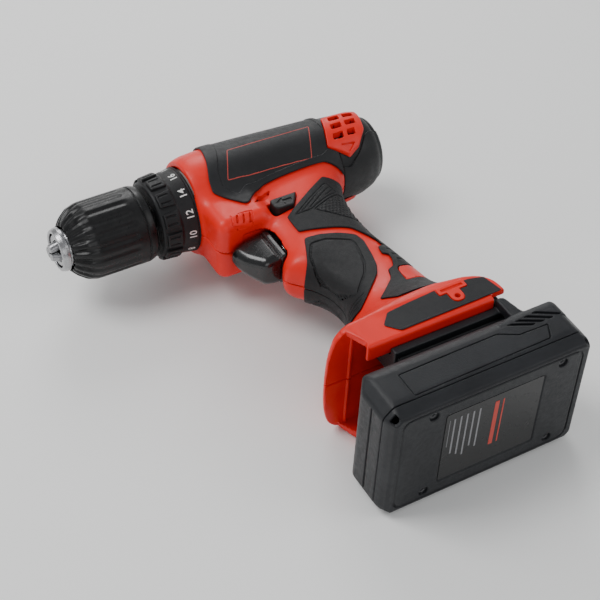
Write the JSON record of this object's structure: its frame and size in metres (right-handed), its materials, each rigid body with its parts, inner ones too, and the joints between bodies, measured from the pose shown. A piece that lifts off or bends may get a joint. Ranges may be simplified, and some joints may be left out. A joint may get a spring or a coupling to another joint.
{
  "type": "cordless drill",
  "caption": "Cordless drill driver with a keyless chuck, numbered clutch collar, planetary gearbox, trigger grip and a slide-on battery pack, lying on its side.",
  "frame": {"origin": "centre of the box around the drill, at the bottom of the drill as it lies on its right side", "axes": "+X from the chuck to the rear along the spindle, +Y from the battery pack up to the barrel, +Z to the drill's left side, which faces up as it lies"},
  "size_m": [0.2, 0.2369, 0.072],
  "materials": {
    "red_shell": "moulded, satin",
    "overmould": "fine moulded grain",
    "rubber_grip": "soft moulded grain",
    "screw_steel": "blackened",
    "sleeve_black": "moulded, satin",
    "chuck_steel": "turned",
    "dark_steel": "phosphated",
    "gear_steel": "sintered",
    "spring_steel": "drawn wire",
    "motor_steel": "zinc plated",
    "nylon": "glass-filled nylon",
    "black_plastic": "moulded",
    "trigger_black": "polished",
    "copper": "enamelled windings",
    "wire_red": "extruded sleeve",
    "wire_black": "extruded sleeve",
    "pack_grey": "spark-eroded grain",
    "board_green": "solder resist",
    "latch_black": "moulded",
    "cell_wrap": "shrink wrap"
  },
  "bodies": {
    "drill_body": {"battery_lead_black": "wire_black", "battery_lead_red": "wire_red", "clutch_spring": "spring_steel", "foot_panel_left": "overmould", "foot_panel_right": "overmould", "gear_case": "nylon", "grip_back_pad": "rubber_grip", "grip_pad_left": "rubber_grip", "grip_pad_right": "rubber_grip", "housing_left": "red_shell", "housing_right": "red_shell", "housing_screw_1": "screw_steel", "housing_screw_2": "screw_steel", "housing_screw_3": "screw_steel", "motor_can": "motor_steel", "motor_end_bell": "black_plastic", "motor_lead_black": "wire_black", "motor_lead_red": "wire_red", "rear_cap": "overmould", "ring_gear": "dark_steel", "side_panel_left": "overmould", "side_panel_right": "overmould", "spindle_bearing": "gear_steel", "switch_module": "black_plastic", "terminal_block": "black_plastic", "trigger_spring": "spring_steel", "vent_shield_left": "red_shell", "vent_shield_right": "red_shell"},
    "chuck": {"spindle": "dark_steel", "output_carrier": "dark_steel", "chuck_body": "chuck_steel", "chuck_screw": "dark_steel", "nose_ring": "chuck_steel"},
    "chuck_sleeve": {"chuck_sleeve": "sleeve_black", "chuck_nut": "dark_steel"},
    "clutch_ring": {"clutch_ring": "sleeve_black"},
    "first_carrier": {"first_carrier": "dark_steel"},
    "rotor": {"rotor": "copper", "motor_pinion": "gear_steel", "cooling_fan": "black_plastic"},
    "trigger": {"trigger": "trigger_black"},
    "direction_switch": {"direction_switch": "black_plastic"},
    "battery_pack": {"pack_lower_shell": "pack_grey", "pack_upper_shell": "pack_grey", "pack_circuit_board": "board_green", "cell_1": "cell_wrap", "cell_2": "cell_wrap", "cell_3": "cell_wrap", "cell_4": "cell_wrap", "cell_5": "cell_wrap"},
    "latch_button": {"latch_button": "latch_black"},
    "jaw_1": {"jaw_1": "chuck_steel"},
    "first_planet_1": {"first_planet_1": "gear_steel"},
    "second_planet_1": {"second_planet_1": "gear_steel"},
    "jaw_2": {"jaw_2": "chuck_steel"},
    "first_planet_2": {"first_planet_2": "gear_steel"},
    "second_planet_2": {"second_planet_2": "gear_steel"},
    "jaw_3": {"jaw_3": "chuck_steel"},
    "first_planet_3": {"first_planet_3": "gear_steel"},
    "second_planet_3": {"second_planet_3": "gear_steel"}
  },
  "joints": [
    {"name": "rotor_spin", "type": "hinge", "parent": "drill_body", "child": "rotor", "pos_m": [0.012, 0.09155, 0.036], "axis": [1, 0, 0], "continuous": true},
    {"name": "first_carrier_spin", "type": "hinge", "parent": "drill_body", "child": "first_carrier", "pos_m": [0.012, 0.09155, 0.036], "axis": [1, 0, 0], "continuous": true},
    {"name": "chuck_spin", "type": "hinge", "parent": "drill_body", "child": "chuck", "pos_m": [0.012, 0.09155, 0.036], "axis": [1, 0, 0], "continuous": true},
    {"name": "first_planet_1_spin", "type": "hinge", "parent": "first_carrier", "child": "first_planet_1", "pos_m": [0.012, 0.1028, 0.036], "axis": [1, 0, 0], "continuous": true},
    {"name": "second_planet_1_spin", "type": "hinge", "parent": "chuck", "child": "second_planet_1", "pos_m": [0.012, 0.1028, 0.036], "axis": [1, 0, 0], "continuous": true},
    {"name": "first_planet_2_spin", "type": "hinge", "parent": "first_carrier", "child": "first_planet_2", "pos_m": [0.012, 0.08593, 0.04574], "axis": [1, 0, 0], "continuous": true},
    {"name": "second_planet_2_spin", "type": "hinge", "parent": "chuck", "child": "second_planet_2", "pos_m": [0.012, 0.08593, 0.04574], "axis": [1, 0, 0], "continuous": true},
    {"name": "first_planet_3_spin", "type": "hinge", "parent": "first_carrier", "child": "first_planet_3", "pos_m": [0.012, 0.08593, 0.02626], "axis": [1, 0, 0], "continuous": true},
    {"name": "second_planet_3_spin", "type": "hinge", "parent": "chuck", "child": "second_planet_3", "pos_m": [0.012, 0.08593, 0.02626], "axis": [1, 0, 0], "continuous": true},
    {"name": "sleeve_turn", "type": "hinge", "parent": "chuck", "child": "chuck_sleeve", "pos_m": [0.012, 0.09155, 0.036], "axis": [1, 0, 0], "range_deg": [0, 1145.9]},
    {"name": "jaw_1_slide", "type": "slide", "parent": "chuck", "child": "jaw_1", "axis": [0.9578, 0, 0.2874], "range_m": [0, 0.016]},
    {"name": "jaw_2_slide", "type": "slide", "parent": "chuck", "child": "jaw_2", "axis": [0.9578, -0.2489, -0.1437], "range_m": [0, 0.016]},
    {"name": "jaw_3_slide", "type": "slide", "parent": "chuck", "child": "jaw_3", "axis": [0.9578, 0.2489, -0.1437], "range_m": [0, 0.016]},
    {"name": "clutch_turn", "type": "hinge", "parent": "drill_body", "child": "clutch_ring", "pos_m": [0.012, 0.09155, 0.036], "axis": [1, 0, 0], "range_deg": [-300, 0]},
    {"name": "trigger_pull", "type": "slide", "parent": "drill_body", "child": "trigger", "axis": [1, 0, 0], "range_m": [0, 0.007], "stiffness_N_per_m": 900, "springref_m": -0.002, "deforming": ["trigger_spring"]},
    {"name": "direction_push", "type": "slide", "parent": "drill_body", "child": "direction_switch", "axis": [0, 0, 1], "range_m": [-0.0025, 0.0025]},
    {"name": "pack_slide", "type": "slide", "parent": "drill_body", "child": "battery_pack", "axis": [1, 0, 0], "range_m": [0, 0.095]},
    {"name": "latch_press", "type": "slide", "parent": "battery_pack", "child": "latch_button", "axis": [0, -1, 0], "range_m": [0, 0.003], "stiffness_N_per_m": 800, "springref_m": -0.002}
  ],
  "couplings": [
    {"joint": "first_carrier_spin", "follows": "rotor_spin", "ratio": 0.2},
    {"joint": "chuck_spin", "follows": "rotor_spin", "ratio": 0.04},
    {"joint": "first_planet_1_spin", "follows": "rotor_spin", "ratio": -0.53333},
    {"joint": "second_planet_1_spin", "follows": "rotor_spin", "ratio": -0.10667},
    {"joint": "first_planet_2_spin", "follows": "rotor_spin", "ratio": -0.53333},
    {"joint": "second_planet_2_spin", "follows": "rotor_spin", "ratio": -0.10667},
    {"joint": "first_planet_3_spin", "follows": "rotor_spin", "ratio": -0.53333},
    {"joint": "second_planet_3_spin", "follows": "rotor_spin", "ratio": -0.10667},
    {"joint": "jaw_1_slide", "follows": "sleeve_turn", "m_per_rad": 0.0008},
    {"joint": "jaw_2_slide", "follows": "sleeve_turn", "m_per_rad": 0.0008},
    {"joint": "jaw_3_slide", "follows": "sleeve_turn", "m_per_rad": 0.0008}
  ]
}
